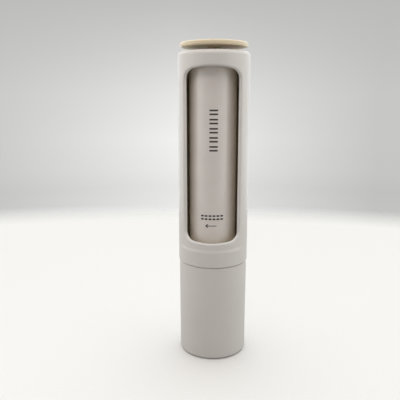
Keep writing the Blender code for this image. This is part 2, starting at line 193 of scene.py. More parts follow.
def place(obj, body, slot, *nodes):
    """Puts a piece on its body and hides the CAD nodes that it stands for. The slot argument is not used."""
    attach(obj, body)
    if nodes:
        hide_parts(*nodes)


# Turned shapes ---------------------------------------------------------------------------------


def profile(corners, closed=True):
    """Runs of (points, normals) along an outline of (r, z, fillet) corners.

    The outline goes out along the top, down the outer side, in along the bottom and up the bore.
    An open outline starts and ends where it is told to, such as on the axis.
    """
    points = [np.array(corner[:2], float) for corner in corners]
    fillets = [corner[2] if len(corner) > 2 else EDGE for corner in corners]
    count = len(points)
    ways = [unit(points[(i + 1) % count] - points[i]) for i in range(count)]
    bends = []
    for i in range(count):
        before = ways[i - 1]
        after = ways[i]
        turn = math.acos(max(-1.0, min(1.0, float(before @ after))))
        if (not closed and i in (0, count - 1)) or turn < STRAIGHT or not fillets[i]:
            bends.append((points[i], points[i], None))
            continue
        first = np.array([-before[1], before[0]])
        last = np.array([-after[1], after[0]])
        bulge = 1.0 if after @ first < 0 else -1.0
        reach = fillets[i] * math.tan(turn / 2)
        start = points[i] - before * reach
        centre = start - bulge * fillets[i] * first
        steps = max(2, math.ceil(turn / ARC_ANGLE))
        share = np.linspace(0, 1, steps + 1)[:, None]
        normals = (np.sin((1 - share) * turn) * first + np.sin(share * turn) * last) / math.sin(turn)
        arc = centre + bulge * fillets[i] * normals
        bends.append((start, points[i] + after * reach, (arc, normals)))
    runs = []
    for i in range(count if closed else count - 1):
        begin = bends[i][1]
        end, _, arc = bends[(i + 1) % count]
        if np.linalg.norm(end - begin) > WELD:
            normal = np.array([-ways[i][1], ways[i][0]])
            runs.append((np.array([begin, end]), np.array([normal, normal])))
        if arc:
            runs.append(arc)
    return runs


def sweep(skin, runs, angles, wrap):
    """Turns runs of (r, z) about the axis. Angles are measured from -Y towards +X."""
    out = np.stack([np.sin(angles), -np.cos(angles), np.zeros_like(angles)], axis=-1)
    up = np.array([0.0, 0.0, 1.0])
    for points, normals in runs:
        spots = points[:, None, :1] * out + points[:, None, 1:] * up
        facing = normals[:, None, :1] * out + normals[:, None, 1:] * up
        skin.grid(spots, facing, wrap)


def turned(name, corners, material, steps=SMALL_STEPS, closed=True):
    skin = Skin()
    angles = np.arange(steps) * math.tau / steps
    sweep(skin, profile(corners, closed), angles, True)
    return skin.build(name, material)


# Windowed tubes ----------------------------------------------------------------------------------


def window_end(end_z, way, bow, corner, grow):
    """One end of the window's outline, from its middle out to its side: a shallow bow, then a corner."""
    reach = WINDOW_HALF_WIDTH - corner
    turn = math.asin(reach / (bow - corner))
    bow_z = end_z - way * bow
    corner_z = bow_z + way * (bow - corner) * math.cos(turn)
    rows = []
    for a in np.linspace(0, turn, FLAT_STEPS + 1)[:-1]:
        x = (bow + grow) * math.sin(a)
        rows.append((x, bow_z + way * (bow + grow) * math.cos(a), math.sin(a), way * math.cos(a)))
    for a in np.linspace(turn, math.pi / 2, CORNER_STEPS + 1):
        x = reach + (corner + grow) * math.sin(a)
        rows.append((x, corner_z + way * (corner + grow) * math.cos(a), math.sin(a), way * math.cos(a)))
    return np.array(rows)


def window_half(grow):
    """The right half of the window's outline, top centre to bottom centre: x, z and the way out of it."""
    top = window_end(WINDOW_TOP_Z, 1, WINDOW_TOP_BOW, WINDOW_TOP_CORNER, grow)
    bottom = window_end(WINDOW_BOTTOM_Z, -1, WINDOW_BOTTOM_BOW, WINDOW_BOTTOM_CORNER, grow)[::-1]
    side = top[-1] + (bottom[0] - top[-1]) * np.linspace(0, 1, SIDE_STEPS + 1)[1:-1, None]
    return np.concatenate([top, side, bottom])


def window_loop(grow):
    """The whole outline, clockwise as seen from the front."""
    right = window_half(grow)
    left = right[-2:0:-1] * np.array([-1.0, 1.0, -1.0, 1.0])
    return np.concatenate([right, left])


def frame_loop(low_z, high_z):
    """Angle and height on the edge of the window's frame, one for each point of the outline."""
    side_high = window_end(WINDOW_TOP_Z, 1, WINDOW_TOP_BOW, WINDOW_TOP_CORNER, 0)[-1, 1]
    side_low = window_end(WINDOW_BOTTOM_Z, -1, WINDOW_BOTTOM_BOW, WINDOW_BOTTOM_CORNER, 0)[-1, 1]
    half = CORNER_STEPS // 2
    top = list(np.linspace(0, FRAME_TURN, FLAT_STEPS + 1))
    top += list(np.linspace(FRAME_TURN, FRONT_ANGLE, half + 1))[1:]
    down = list(np.linspace(high_z, side_high, half + 1))[1:]
    down += list(np.linspace(side_high, side_low, SIDE_STEPS + 1))[1:]
    down += list(np.linspace(side_low, low_z, half + 1))[1:]
    rows = [(angle, high_z) for angle in top]
    rows += [(FRONT_ANGLE, z) for z in down]
    rows += [(angle, low_z) for angle in top[-2::-1]]
    right = np.array(rows)
    left = right[-2:0:-1] * np.array([-1.0, 1.0])
    return np.concatenate([right, left])


def smooth(share):
    share = np.clip(share, 0, 1)
    return share * share * (3 - 2 * share)


def recess(angles, heights):
    """How far into the soft recess under the window a place on the sleeve lies: 1 in it, 0 outside."""
    edge_z = WINDOW_BOTTOM_Z - RECESS_DROP + RECESS_RISE * (1 - np.cos(angles))
    above_edge = smooth((heights - edge_z) / RECESS_EDGE + 0.5)
    fade = 1 - smooth((heights - WINDOW_BOTTOM_Z) / RECESS_FADE)
    front = smooth((RECESS_HALF_ANGLE - np.abs(angles)) / RECESS_END)
    return above_edge * fade * front


def on_tube(angles, heights, radius, sink=0.0):
    """Points on a round face, sunk by up to sink where the recess is."""
    if sink:
        radius = radius - sink * recess(angles, heights)
    return np.stack([radius * np.sin(angles), -radius * np.cos(angles), heights], axis=-1)


def tube_patch(skin, angles, heights, radius, sign, wrap=False, sink=0.0):
    """A patch of a round face, facing out when sign is 1 and in when it is -1."""
    points = on_tube(angles, heights, radius, sink)
    tiny = 1e-5
    across = on_tube(angles + tiny, heights, radius, sink) - on_tube(angles - tiny, heights, radius, sink)
    step = tiny * radius
    along = on_tube(angles, heights + step, radius, sink) - on_tube(angles, heights - step, radius, sink)
    skin.grid(points, sign * unit(np.cross(across, along)), wrap)


def windowed_tube(name, material, radius, bore, low, high, grow, fillet, top, bottom, sink=0.0, slot=0.0):
    """A tube along Z with the window cut through its front.

    top and bottom are open outlines of (r, z, fillet) corners that join the bore to the outer face.
    low and high are the (bore, outer) heights where those outlines begin. slot is half the angle of
    a slot down the back.
    """
    skin = Skin()
    rim = window_loop(grow)
    inward = np.stack([-rim[:, 2], np.zeros(len(rim)), -rim[:, 3]], axis=-1)

    # Rounded edge of the window: a ball rolled along it touches the outer face and the window's wall.
    centre_x = rim[:, 0] + rim[:, 2] * fillet
    centre_z = rim[:, 1] + rim[:, 3] * fillet
    centre_y = -np.sqrt((radius - fillet) ** 2 - centre_x**2)
    centre = np.stack([centre_x, centre_y, centre_z], axis=-1)
    outward = np.stack([centre_x, centre_y, np.zeros(len(rim))], axis=-1) / (radius - fillet)
    turn = np.arccos(np.clip(np.einsum("ij,ij->i", inward, outward), -1, 1))[:, None]
    ways = []
    for i in range(FILLET_STEPS + 1):
        share = i / FILLET_STEPS
        ways.append((np.sin((1 - share) * turn) * inward + np.sin(share * turn) * outward) / np.sin(turn))
    ways = np.array(ways)
    edge = centre + fillet * ways
    if sink:
        around = np.arctan2(edge[..., 0], -edge[..., 1])
        reach = np.hypot(edge[..., 0], edge[..., 1])
        share = (reach - bore) / (radius - bore)
        edge = on_tube(around, edge[..., 2], reach - sink * share * recess(around, edge[..., 2]))
    skin.grid(edge, ways, True)

    # Wall of the window, from the rounded edge back to the bore.
    back = np.stack([rim[:, 0], -np.sqrt(bore**2 - rim[:, 0] ** 2), rim[:, 1]], axis=-1)
    skin.grid([edge[0], back], [inward, inward], True)

    # Frame of the window and the back of the tube, outside and inside.
    outer_edge = edge[-1]
    for face, ring, sign, rows, dip in ((1, outer_edge, 1, OUTER_ROWS, sink), (0, back, -1, BORE_ROWS, 0.0)):
        reach = radius if face else bore
        targets = frame_loop(low[face], high[face])
        angles = np.arctan2(ring[:, 0], -ring[:, 1])
        share = (np.linspace(0, 1, rows + 1) ** ROW_CROWDING)[:, None]
        tube_patch(
            skin,
            angles + share * (targets[:, 0] - angles),
            ring[:, 2] + share * (targets[:, 1] - ring[:, 2]),
            reach,
            sign,
            True,
            dip,
        )
        side = targets[(np.abs(targets[:, 0] - FRONT_ANGLE) < SAME), 1]
        for around in back_angles(slot):
            tube_patch(skin, *np.meshgrid(around, side), reach, sign)

    # Rims, and the walls of the slot.
    front = frame_loop(low[1], high[1])
    columns = np.sort(front[np.abs(front[:, 1] - high[1]) < SAME, 0])
    for runs in (profile(top, False), profile(bottom, False)):
        for around in [columns] + back_angles(slot):
            sweep(skin, runs, around, False)
    if slot:
        for angle, sign in ((math.pi - slot, 1), (math.pi + slot, -1)):
            heights = np.array([side, side]).T
            reaches = np.array([[bore, radius]])
            spots = on_tube(angle + 0 * heights, heights, reaches)
            skin.grid(spots, [sign * math.cos(angle), sign * math.sin(angle), 0.0])
    return skin.build(name, material)


def back_angles(slot):
    """Columns round the back of a tube, in two stretches where a slot parts them."""
    if not slot:
        return [np.linspace(FRONT_ANGLE, math.tau - FRONT_ANGLE, BACK_STEPS + 1)]
    first = np.linspace(FRONT_ANGLE, math.pi - slot, BACK_STEPS // 2 + 1)
    return [first, math.tau - first[::-1]]


# Node helpers --------------------------------------------------------------------------------------


def new_material(name):
    material = bpy.data.materials.new(name)
    material.use_nodes = True
    return material, material.node_tree, material.node_tree.nodes["Principled BSDF"]


def add(tree, kind, inputs=None, **settings):
    """A node with its settings, and its inputs given as values or as sockets to link from."""
    node = tree.nodes.new(kind)
    for key, value in settings.items():
        setattr(node, key, value)
    for key, value in (inputs or {}).items():
        if isinstance(value, bpy.types.NodeSocket):
            tree.links.new(value, node.inputs[key])
        else:
            node.inputs[key].default_value = value
    return node


def object_coordinates(tree):
    return add(tree, "ShaderNodeTexCoord").outputs["Object"]


def noise(tree, vector, scale, detail=3.0, roughness=0.55, stretch=None):
    """Noise between about 0.3 and 0.7; scale is in cells to the metre."""
    if stretch:
        vector = add(tree, "ShaderNodeMapping", {"Vector": vector, "Scale": stretch}).outputs[0]
    inputs = {"Vector": vector, "Scale": scale, "Detail": detail, "Roughness": roughness}
    return add(tree, "ShaderNodeTexNoise", inputs).outputs["Fac"]


def spread(tree, value, low, high, from_low=0.3, from_high=0.7):
    """Maps a value from one range to another."""
    inputs = {"Value": value, "From Min": from_low, "From Max": from_high, "To Min": low, "To Max": high}
    return add(tree, "ShaderNodeMapRange", inputs).outputs["Result"]


def blend_colour(tree, factor, first, second):
    node = add(tree, "ShaderNodeMix", data_type="RGBA")
    tree.links.new(factor, node.inputs["Factor"])
    for socket, colour in (("A", first), ("B", second)):
        target = next(s for s in node.inputs if s.name == socket and s.type == "RGBA")
        if isinstance(colour, bpy.types.NodeSocket):
            tree.links.new(colour, target)
        else:
            target.default_value = (*colour, 1.0)
    return next(s for s in node.outputs if s.type == "RGBA")


def maths(tree, operation, first, second=0.0):
    return add(tree, "ShaderNodeMath", {0: first, 1: second}, operation=operation).outputs[0]


def vector_maths(tree, operation, output, inputs):
    return add(tree, "ShaderNodeVectorMath", inputs, operation=operation).outputs[output]


def split(tree, vector):
    return add(tree, "ShaderNodeSeparateXYZ", {"Vector": vector}).outputs


def bump(tree, height, distance, below=None):
    inputs = {"Height": height, "Distance": distance, "Strength": 1.0}
    if below:
        inputs["Normal"] = below
    return add(tree, "ShaderNodeBump", inputs).outputs["Normal"]


def shade(colour, factor):
    return tuple(channel * factor for channel in colour)


# Materials -------------------------------------------------------------------------------------------
# A noise's scale is in cells to the metre, and a bump's height is in metres.

PLASTIC_IOR = 1.46


def moulded_plastic(name, colour, roughness, grain=0.010 * MM):
    """Satin moulded plastic: slow tone drift, fine mould grain, faint rub marks along Z."""
    material, tree, shader = new_material(name)
    wear = 0.05
    spot = object_coordinates(tree)
    drift = noise(tree, spot, 45.0, 2.0)
    tone = blend_colour(tree, spread(tree, drift, 0.0, 1.0), shade(colour, 0.975), shade(colour, 1.01))
    rubs = noise(tree, spot, 1.0, 4.0, 0.6, stretch=(900.0, 900.0, 55.0))
    smudge = noise(tree, spot, 110.0, 3.0)
    base = spread(tree, smudge, roughness - wear, roughness + wear)
    polish = spread(tree, rubs, 0.0, wear, 0.52, 0.72)
    fine = noise(tree, spot, 2600.0, 2.0)
    peel = noise(tree, spot, 420.0, 2.0)
    tree.links.new(tone, shader.inputs["Base Color"])
    tree.links.new(maths(tree, "ADD", base, polish), shader.inputs["Roughness"])
    grain_normal = bump(tree, fine, grain)
    tree.links.new(bump(tree, peel, grain, grain_normal), shader.inputs["Normal"])
    shader.inputs["IOR"].default_value = PLASTIC_IOR
    return material


def printed_sheet():
    """The smooth outside sheet: faint fibre, slow ripples round the roll and a slight gloss."""
    material, tree, shader = new_material("printed_sheet")
    spot = object_coordinates(tree)
    fibre = noise(tree, spot, 1.0, 5.0, 0.65, stretch=(2200.0, 2200.0, 500.0))
    cloud = noise(tree, spot, 70.0, 3.0)
    ripple = noise(tree, spot, 1.0, 2.0, 0.5, stretch=(160.0, 160.0, 14.0))
    pale = (0.86, 0.82, 0.785)
    tone = blend_colour(tree, spread(tree, cloud, 0.0, 1.0), shade(pale, 0.965), shade(pale, 1.015))
    tree.links.new(tone, shader.inputs["Base Color"])
    tree.links.new(spread(tree, fibre, 0.34, 0.46), shader.inputs["Roughness"])
    soft = bump(tree, ripple, 0.05 * MM)
    tree.links.new(bump(tree, fibre, 0.006 * MM, soft), shader.inputs["Normal"])
    shader.inputs["Sheen Weight"].default_value = 0.5
    shader.inputs["Sheen Roughness"].default_value = 0.35
    shader.inputs["Coat Weight"].default_value = 0.8
    shader.inputs["Coat Roughness"].default_value = 0.15
    return material


def wound_paper():
    """The edge of the wound sheets: close rings of paper, and plain paper on the round side."""
    material, tree, shader = new_material("wound_paper")
    spot = object_coordinates(tree)
    # In radians: how fast the rings follow each other to the metre, and how far the noise shifts them.
    ring_rate = 24000.0
    sway = 6.0
    parts = split(tree, spot)
    flat = add(tree, "ShaderNodeCombineXYZ", {"X": parts["X"], "Y": parts["Y"], "Z": 0.0}).outputs[0]
    radius = vector_maths(tree, "LENGTH", "Value", {0: flat})
    waver = noise(tree, spot, 300.0, 2.0)
    shift = maths(tree, "MULTIPLY", waver, sway)
    turns = maths(tree, "ADD", maths(tree, "MULTIPLY", radius, ring_rate), shift)
    rings = maths(tree, "SINE", turns)
    pale = (0.80, 0.78, 0.73)
    tone = blend_colour(tree, spread(tree, rings, 0.0, 1.0, -1.0, 1.0), shade(pale, 0.72), pale)
    tree.links.new(tone, shader.inputs["Base Color"])
    tree.links.new(spread(tree, waver, 0.55, 0.75), shader.inputs["Roughness"])
    tree.links.new(bump(tree, rings, 0.02 * MM), shader.inputs["Normal"])
    return material


def core_board():
    """Brown board with the spiral seams of a wound tube and short fibres."""
    material, tree, shader = new_material("core_board")
    spot = object_coordinates(tree)
    seam_rise = 30 * MM
    seam_sharpness = 0.12
    parts = split(tree, spot)
    angle = maths(tree, "ARCTAN2", parts["Y"], parts["X"])
    climb = maths(tree, "MULTIPLY", parts["Z"], math.tau / seam_rise)
    wave = maths(tree, "ABSOLUTE", maths(tree, "SINE", maths(tree, "ADD", angle, climb)))
    seam = maths(tree, "POWER", wave, seam_sharpness)
    fibre = noise(tree, spot, 1.0, 5.0, 0.7, stretch=(1500.0, 1500.0, 420.0))
    brown = (0.40, 0.285, 0.175)
    tone = blend_colour(tree, spread(tree, fibre, 0.0, 1.0), shade(brown, 0.78), shade(brown, 1.12))
    lined = blend_colour(tree, seam, shade(brown, 0.45), tone)
    tree.links.new(lined, shader.inputs["Base Color"])
    tree.links.new(spread(tree, fibre, 0.75, 0.95), shader.inputs["Roughness"])
    tree.links.new(bump(tree, fibre, 0.03 * MM), shader.inputs["Normal"])
    return material


def dark_ink():
    """Matt grey-black print that breaks up slightly with the paper's fibre."""
    material, tree, shader = new_material("dark_ink")
    spot = object_coordinates(tree)
    fleck = noise(tree, spot, 3200.0, 3.0, 0.7)
    dark = (0.035, 0.032, 0.030)
    light = (0.12, 0.11, 0.10)
    tone = blend_colour(tree, spread(tree, fleck, 0.0, 1.0, 0.35, 0.8), dark, light)
    tree.links.new(tone, shader.inputs["Base Color"])
    tree.links.new(spread(tree, fleck, 0.45, 0.65), shader.inputs["Roughness"])
    return material


def dull_rubber():
    material, tree, shader = new_material("dull_rubber")
    spot = object_coordinates(tree)
    grit = noise(tree, spot, 1800.0, 4.0, 0.7)
    tone = blend_colour(tree, spread(tree, grit, 0.0, 1.0), (0.030, 0.030, 0.031), (0.060, 0.059, 0.058))
    tree.links.new(tone, shader.inputs["Base Color"])
    tree.links.new(spread(tree, grit, 0.62, 0.85), shader.inputs["Roughness"])
    tree.links.new(bump(tree, grit, 0.03 * MM), shader.inputs["Normal"])
    return material


def plated_steel():
    """Zinc-plated steel with fine turning lines."""
    material, tree, shader = new_material("plated_steel")
    spot = object_coordinates(tree)
    lines = noise(tree, spot, 1.0, 4.0, 0.6, stretch=(300.0, 300.0, 9000.0))
    cloud = noise(tree, spot, 700.0, 2.0)
    tone = blend_colour(tree, spread(tree, cloud, 0.0, 1.0), (0.50, 0.50, 0.52), (0.66, 0.66, 0.67))
    tree.links.new(tone, shader.inputs["Base Color"])
    tree.links.new(spread(tree, lines, 0.22, 0.40), shader.inputs["Roughness"])
    tree.links.new(bump(tree, lines, 0.004 * MM), shader.inputs["Normal"])
    shader.inputs["Metallic"].default_value = 1.0
    return material


def glowing(material, weight, scale, radius):
    """Lets light through the plastic, over scale metres times radius for red, green and blue."""
    shader = material.node_tree.nodes["Principled BSDF"]
    shader.inputs["Subsurface Weight"].default_value = weight
    shader.inputs["Subsurface Scale"].default_value = scale
    shader.inputs["Subsurface Radius"].default_value = radius
    return material


SHELL = moulded_plastic("shell_plastic", (0.80, 0.785, 0.76), 0.36)
CREAM = moulded_plastic("cream_plastic", (0.82, 0.728, 0.545), 0.42)
CREAM = glowing(CREAM, 0.5, 2.0 * MM, (1.0, 0.75, 0.45))
NYLON = moulded_plastic("nylon_plastic", (0.76, 0.74, 0.69), 0.50, grain=0.016 * MM)
RUBBER = dull_rubber()
STEEL = plated_steel()
SHEET = printed_sheet()
WOUND = wound_paper()
BOARD = core_board()
INK = dark_ink()


# Housing ---------------------------------------------------------------------------------------------


def window_sleeve():
    lip = SLEEVE_TOP_Z - LIP_THICKNESS
    top_start = SLEEVE_TOP_Z - TOP_ROUND
    bottom_start = SEAM_Z + BOTTOM_ROUND
    top = [
        (SLEEVE_BORE, lip),
        (LIP_BORE, lip),
        (LIP_BORE, SLEEVE_TOP_Z, LIP_ROUND),
        (SLEEVE_RADIUS, SLEEVE_TOP_Z, TOP_ROUND),
        (SLEEVE_RADIUS, top_start),
    ]
    bottom = [
        (SLEEVE_RADIUS, bottom_start),
        (SLEEVE_RADIUS, SEAM_Z, BOTTOM_ROUND),
        (SLEEVE_BORE, SEAM_Z),
        (SLEEVE_BORE, bottom_start),
    ]
    low = (bottom_start, bottom_start)
    high = (lip, top_start)
    args = (SLEEVE_RADIUS, SLEEVE_BORE, low, high, 0.0, WINDOW_FILLET, top, bottom, RECESS_DEPTH)
    obj = windowed_tube("sleeve", SHELL, *args)
    place(obj, "housing", "shell_plastic", "window_sleeve")


def guide_liner():
    radius = LINER_HIGH.x
    low = LINER_LOW.z
    high = LINER_HIGH.z
    top = [(LINER_BORE, high), (radius, high)]
    bottom = [(radius, low), (LINER_BORE, low)]
    slot = math.asin(KEYWAY_WIDTH / 2 / radius)
    args = (radius, LINER_BORE, (low, low), (high, high), LINER_SETBACK, EDGE, top, bottom, 0.0, slot)
    obj = windowed_tube("liner", CREAM, *args)
    place(obj, "housing", "cream_plastic", "guide_liner")


def handle():
    top = HANDLE_HIGH.z
    ledge = CAP_HIGH.z + FIT
    ledge_bore = HANDLE_BORE - 0.9 * MM
    corners = [
        (HANDLE_BORE, top),
        (HANDLE_HIGH.x, top, 0.5 * MM),
        (HANDLE_FOOT_RADIUS, 0.0, 1.6 * MM),
        (HANDLE_BORE, 0.0),
        (HANDLE_BORE, ledge),
        (ledge_bore, ledge),
        (ledge_bore, ledge + 1.0 * MM),
        (HANDLE_BORE, ledge + 1.9 * MM),
    ]
    place(turned("handle", corners, SHELL, SHELL_STEPS), "housing", "shell_plastic", "handle_shell")


def base_cap():
    """Cap with a shallow ring groove and a small gate mark in its underside."""
    outer = CAP_HIGH.x
    inner = outer - 1.7 * MM
    inside = 2.2 * MM
    groove = 0.3 * MM
    gate = 0.25 * MM
    corners = [
        (0.0, inside),
        (inner, inside, 0.5 * MM),
        (inner, CAP_HIGH.z),
        (outer, CAP_HIGH.z),
        (outer, 0.0, 0.4 * MM),
        (12.4 * MM, 0.0),
        (12.1 * MM, groove),
        (11.5 * MM, groove),
        (11.2 * MM, 0.0),
        (1.5 * MM, 0.0),
        (1.3 * MM, gate),
        (0.0, gate),
    ]
    obj = turned("handle_base_cap", corners, SHELL, SHELL_STEPS, closed=False)
    place(obj, "housing", "shell_plastic", "base_cap")


def collar():
    outer = COLLAR_HIGH.x
    lower = HANDLE_BORE - FIT
    bore = 16.8 * MM
    shelf = COLLAR_LOW.z + 1.9 * MM
    shelf_bore = 13.6 * MM
    bumper_bore = 13.9 * MM
    corners = [
        (bore, COLLAR_HIGH.z, 0.3 * MM),
        (outer, COLLAR_HIGH.z, 0.3 * MM),
        (outer, SEAM_Z),
        (lower, SEAM_Z),
        (lower, COLLAR_LOW.z, 0.3 * MM),
        (shelf_bore, COLLAR_LOW.z),
        (shelf_bore, shelf),
        (bore, shelf),
    ]
    obj = turned("handle_collar", corners, SHELL, SHELL_STEPS)
    place(obj, "housing", "shell_plastic", "coupling_ring")
    low = BUMPER_LOW.z
    high = BUMPER_HIGH.z
    ring = [(bumper_bore, high), (BUMPER_HIGH.x, high), (BUMPER_HIGH.x, low), (bumper_bore, low)]
    place(turned("rest_bumper", ring, RUBBER), "housing", "dark_rubber", "stop_bumper")


def mouth():
    """Stop ring: a flange under the sleeve's lip and a collar that rises through it."""
    bore = 14.4 * MM
    bevel = 0.9 * MM
    reach = LIP_BORE - FIT
    flange_z = MOUTH_HIGH.z - LIP_THICKNESS
    corners = [
        (bore + bevel, MOUTH_HIGH.z, 0.4 * MM),
        (reach, MOUTH_HIGH.z, 0.2 * MM),
        (reach, flange_z),
        (MOUTH_HIGH.x, flange_z),
        (MOUTH_HIGH.x, MOUTH_LOW.z),
        (bore, MOUTH_LOW.z),
        (bore, MOUTH_HIGH.z - bevel, 0.4 * MM),
    ]
    obj = turned("mouth_stop_ring", corners, CREAM, SHELL_STEPS)
    place(obj, "housing", "cream_plastic", "mouth_ring")


# Carriage ----------------------------------------------------------------------------------------------


def pull_disc():
    pin = 1.6 * MM
    corners = [
        (0.0, DISC_HIGH.z),
        (DISC_HIGH.x, DISC_HIGH.z, 1.2 * MM),
        (DISC_HIGH.x, DISC_BOTTOM_Z, 0.8 * MM),
        (pin, DISC_BOTTOM_Z),
        (pin, DISC_LOW.z, 0.3 * MM),
        (0.0, DISC_LOW.z),
    ]
    obj = turned("top_disc", corners, CREAM, SHELL_STEPS, closed=False)
    place(obj, "carriage", "cream_plastic", "pull_disc")


def disc_stem():
    """Stem with rounded ribs down its side."""
    ribs = 14
    per_rib = 12
    squareness = 3
    crest = STEM_HIGH.x
    valley = 3.9 * MM
    angles = np.arange(ribs * per_rib) * math.tau / (ribs * per_rib)
    wave = np.cos(ribs * angles)
    square = np.tanh(squareness * wave) / np.tanh(squareness)
    radius = (crest + valley) / 2 + (crest - valley) / 2 * square
    slope = np.gradient(np.concatenate([radius[-1:], radius, radius[:1]]), angles[1])[1:-1]
    out = np.stack([np.sin(angles), -np.cos(angles), 0 * angles], axis=-1)
    along = np.stack([np.cos(angles), np.sin(angles), 0 * angles], axis=-1)
    side = unit(out * radius[:, None] - along * slope[:, None])
    up = np.array([0.0, 0.0, 1.0])
    skin = Skin()
    high = radius[:, None] * out + STEM_HIGH.z * up
    low = radius[:, None] * out + STEM_LOW.z * up
    bore_high = ROD_BORE * out + STEM_HIGH.z * up
    bore_low = ROD_BORE * out + STEM_LOW.z * up
    skin.grid([high, low], [side, side], True)
    skin.grid([bore_high, high], up, True)
    skin.grid([bore_low, low], -up, True)
    skin.grid([bore_high, bore_low], [-out, -out], True)
    place(skin.build("ribbed_stem", CREAM), "carriage", "cream_plastic", "disc_stem")


def piston():
    radius = -PISTON_LOW.x
    low = PISTON_LOW.z
    high = PISTON_HIGH.z
    groove_low = low + 6.0 * MM
    groove_high = low + 8.2 * MM
    groove = 15.1 * MM
    skirt = 14.2 * MM
    boss = 6.0 * MM
    boss_low = low + 8.0 * MM
    seat = boss_low + 3.0 * MM
    crown = high - 3.2 * MM
    corners = [
        (ROD_BORE, high, 0.3 * MM),
        (radius, high, 0.5 * MM),
        (radius, groove_high),
        (groove, groove_high, 0.3 * MM),
        (groove, groove_low, 0.3 * MM),
        (radius, groove_low),
        (radius, low, 0.5 * MM),
        (skirt, low, 0.4 * MM),
        (skirt, crown, 0.8 * MM),
        (boss, crown, 0.8 * MM),
        (boss, boss_low),
        (SCREW_BORE, boss_low),
        (SCREW_BORE, seat),
        (ROD_BORE, seat),
    ]
    obj = turned("piston", corners, CREAM, SHELL_STEPS)
    place(obj, "carriage", "cream_plastic", "guide_piston")

    half = KEYWAY_WIDTH / 2 - FIT
    root = radius - 0.2 * MM
    key_top = high - 0.75 * MM
    key_low = key_top - 2.5 * MM
    key = rounded_block("piston_key", (-half, root, key_low), (half, PISTON_HIGH.y, key_top), CREAM)
    place(key, "carriage", "cream_plastic")

    section = (O_RING_HIGH.z - O_RING_LOW.z) / 2
    middle = O_RING_HIGH.x - section
    centre_z = (O_RING_HIGH.z + O_RING_LOW.z) / 2
    turns = np.linspace(math.pi, -math.pi, RING_STEPS + 1)
    normals = np.stack([np.cos(turns), np.sin(turns)], axis=-1)
    skin = Skin()
    angles = np.arange(SHELL_STEPS) * math.tau / SHELL_STEPS
    sweep(skin, [(np.array([middle, centre_z]) + section * normals, normals)], angles, True)
    place(skin.build("friction_ring", RUBBER), "carriage", "dark_rubber", "piston_o_ring")


def rounded_block(name, low, high, material):
    mesh = bpy.data.meshes.new(name)
    xs, ys, zs = zip(low, high)
    corners = [(x, y, z) for z in zs for y in ys for x in xs]
    faces = [(0, 2, 3, 1), (4, 5, 7, 6), (0, 1, 5, 4), (1, 3, 7, 5), (3, 2, 6, 7), (2, 0, 4, 6)]
    mesh.from_pydata(corners, [], faces)
    mesh.materials.append(material)
    obj = bpy.data.objects.new(name, mesh)
    bpy.context.scene.collection.objects.link(obj)
    bevel = obj.modifiers.new("edges", "BEVEL")
    bevel.width = EDGE
    bevel.segments = 3
    mesh.shade_smooth()
    mesh.set_sharp_from_angle(angle=SHARP_ANGLE)
    return obj


def spindle():
    rod = SPINDLE_HIGH.x
    low = SPINDLE_LOW.z
    high = SPINDLE_HIGH.z
    depth = 9.0 * MM
    pin_bore = 1.9 * MM
    corners = [
        (0.0, high - depth),
        (pin_bore, high - depth),
        (pin_bore, high),
        (rod, high, 0.3 * MM),
        (rod, low, 0.3 * MM),
        (SCREW_BORE, low),
        (SCREW_BORE, low + depth),
        (0.0, low + depth),
    ]
    obj = turned("roll_spindle", corners, CREAM, closed=False)
    place(obj, "carriage", "cream_plastic", "spindle")


def washers():
    for node, name, bore, material, slot in (
        ("screw_washer", "steel_washer", SCREW_BORE, STEEL, "screw_steel"),
        ("lower_thrust_washer", "thrust_washer_low", ROD_BORE, NYLON, "nylon"),
        ("upper_thrust_washer", "thrust_washer_high", ROD_BORE, NYLON, "nylon"),
    ):
        low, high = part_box(node)
        edge = 0.1 * MM
        corners = [(bore, high.z, edge), (high.x, high.z, edge), (high.x, low.z, edge), (bore, low.z, edge)]
        place(turned(name, corners, material), "carriage", slot, node)


# Roll --------------------------------------------------------------------------------------------------


def hubs():
    for node, name, way in (("lower_hub", "hub_low", 1), ("upper_hub", "hub_high", -1)):
        low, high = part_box(node)
        start = low.z if way > 0 else high.z
        flange = 0.9 * MM
        web = 1.8 * MM
        length = high.z - low.z
        corners = [
            (ROD_BORE, 0.0),
            (high.x, 0.0, 0.25 * MM),
            (high.x, flange, 0.25 * MM),
            (HUB_RADIUS, flange),
            (HUB_RADIUS, length, 0.4 * MM),
            (HUB_RADIUS - web, length, 0.3 * MM),
            (HUB_RADIUS - web, web, 0.4 * MM),
            (ROD_BORE + web, web, 0.4 * MM),
            (ROD_BORE + web, length, 0.3 * MM),
            (ROD_BORE, length, 0.3 * MM),
        ]
        corners = [(r, start + way * z, *rest) for r, z, *rest in corners]
        corners = corners[::-1] if way > 0 else corners
        place(turned(name, corners, NYLON, SHELL_STEPS), "roll", "nylon", node)


def core_and_sheets():
    bore = HUB_RADIUS + FIT
    high = CORE_HIGH.z
    low = CORE_LOW.z
    corners = [(bore, high), (CORE_HIGH.x, high), (CORE_HIGH.x, low), (bore, low)]
    place(turned("core_tube", corners, BOARD, SHELL_STEPS), "roll", "core_board", "paper_core")
    bore = CORE_HIGH.x + 0.1 * MM
    reach = SHEETS_HIGH.x - 0.3 * MM
    corners = [(bore, high), (reach, high), (reach, low), (bore, low)]
    obj = turned("wound_sheets", corners, WOUND, SHELL_STEPS)
    place(obj, "roll", "tape_paper", "adhesive_sheets")


